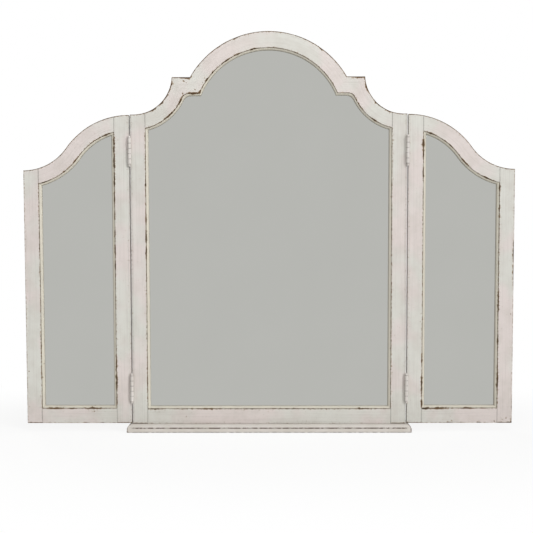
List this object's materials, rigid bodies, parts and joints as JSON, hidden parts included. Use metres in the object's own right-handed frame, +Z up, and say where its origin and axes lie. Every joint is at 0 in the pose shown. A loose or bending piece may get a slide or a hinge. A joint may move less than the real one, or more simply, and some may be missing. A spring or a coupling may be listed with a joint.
{
  "type": "dresser mirror",
  "caption": "Tri-fold dressing table mirror: arched centre glass on a moulded plinth, with a hinged wing on each side, in distressed white painted wood.",
  "frame": {"origin": "middle of the plinth's underside", "axes": "+Z up, +X to the right of someone who looks into the glass, -Y out of the glass"},
  "size_m": [1.239, 0.09, 1.0085],
  "materials": {
    "white_paint": "satin",
    "cream_paint": "satin",
    "mirror": "polished",
    "back_board": "matte",
    "painted_metal": "satin",
    "screw_steel": "satin",
    "zinc_steel": "satin"
  },
  "bodies": {
    "centre": {"base_plinth": "white_paint", "brace_screws": "screw_steel", "centre_back_panel": "back_board", "centre_back_panel_screws": "screw_steel", "centre_bottom_bead": "cream_paint", "centre_bottom_rail": "white_paint", "centre_crest_rail": "white_paint", "centre_left_bead": "cream_paint", "centre_left_stile": "white_paint", "centre_mirror_glass": "mirror", "centre_right_bead": "cream_paint", "centre_right_stile": "white_paint", "centre_top_bead": "cream_paint", "fixed_leaf_screws": "painted_metal", "left_corner_brace": "zinc_steel", "left_lower_fixed_leaf": "painted_metal", "left_lower_hinge_pin": "painted_metal", "left_upper_fixed_leaf": "painted_metal", "left_upper_hinge_pin": "painted_metal", "plinth_screws": "screw_steel", "right_corner_brace": "zinc_steel", "right_lower_fixed_leaf": "painted_metal", "right_lower_hinge_pin": "painted_metal", "right_upper_fixed_leaf": "painted_metal", "right_upper_hinge_pin": "painted_metal"},
    "left_wing": {"left_wing_back_panel": "back_board", "left_wing_back_panel_screws": "screw_steel", "left_wing_bottom_bead": "cream_paint", "left_wing_bottom_rail": "white_paint", "left_wing_inner_bead": "cream_paint", "left_wing_inner_stile": "white_paint", "left_wing_mirror_glass": "mirror", "left_wing_outer_bead": "cream_paint", "left_wing_outer_stile": "white_paint", "left_wing_top_bead": "cream_paint", "left_wing_top_rail": "white_paint", "left_upper_moving_leaf": "painted_metal", "left_lower_moving_leaf": "painted_metal", "left_moving_leaf_screws": "painted_metal"},
    "right_wing": {"right_wing_back_panel": "back_board", "right_wing_back_panel_screws": "screw_steel", "right_wing_bottom_bead": "cream_paint", "right_wing_bottom_rail": "white_paint", "right_wing_inner_bead": "cream_paint", "right_wing_inner_stile": "white_paint", "right_wing_mirror_glass": "mirror", "right_wing_outer_bead": "cream_paint", "right_wing_outer_stile": "white_paint", "right_wing_top_bead": "cream_paint", "right_wing_top_rail": "white_paint", "right_upper_moving_leaf": "painted_metal", "right_lower_moving_leaf": "painted_metal", "right_moving_leaf_screws": "painted_metal"}
  },
  "joints": [
    {"name": "left_wing_hinge", "type": "hinge", "parent": "centre", "child": "left_wing", "pos_m": [-0.35, -0.0276, 0.4115], "axis": [0, 0, 1], "range_deg": [0, 175]},
    {"name": "right_wing_hinge", "type": "hinge", "parent": "centre", "child": "right_wing", "pos_m": [0.35, -0.0276, 0.4115], "axis": [0, 0, -1], "range_deg": [0, 175]}
  ]
}
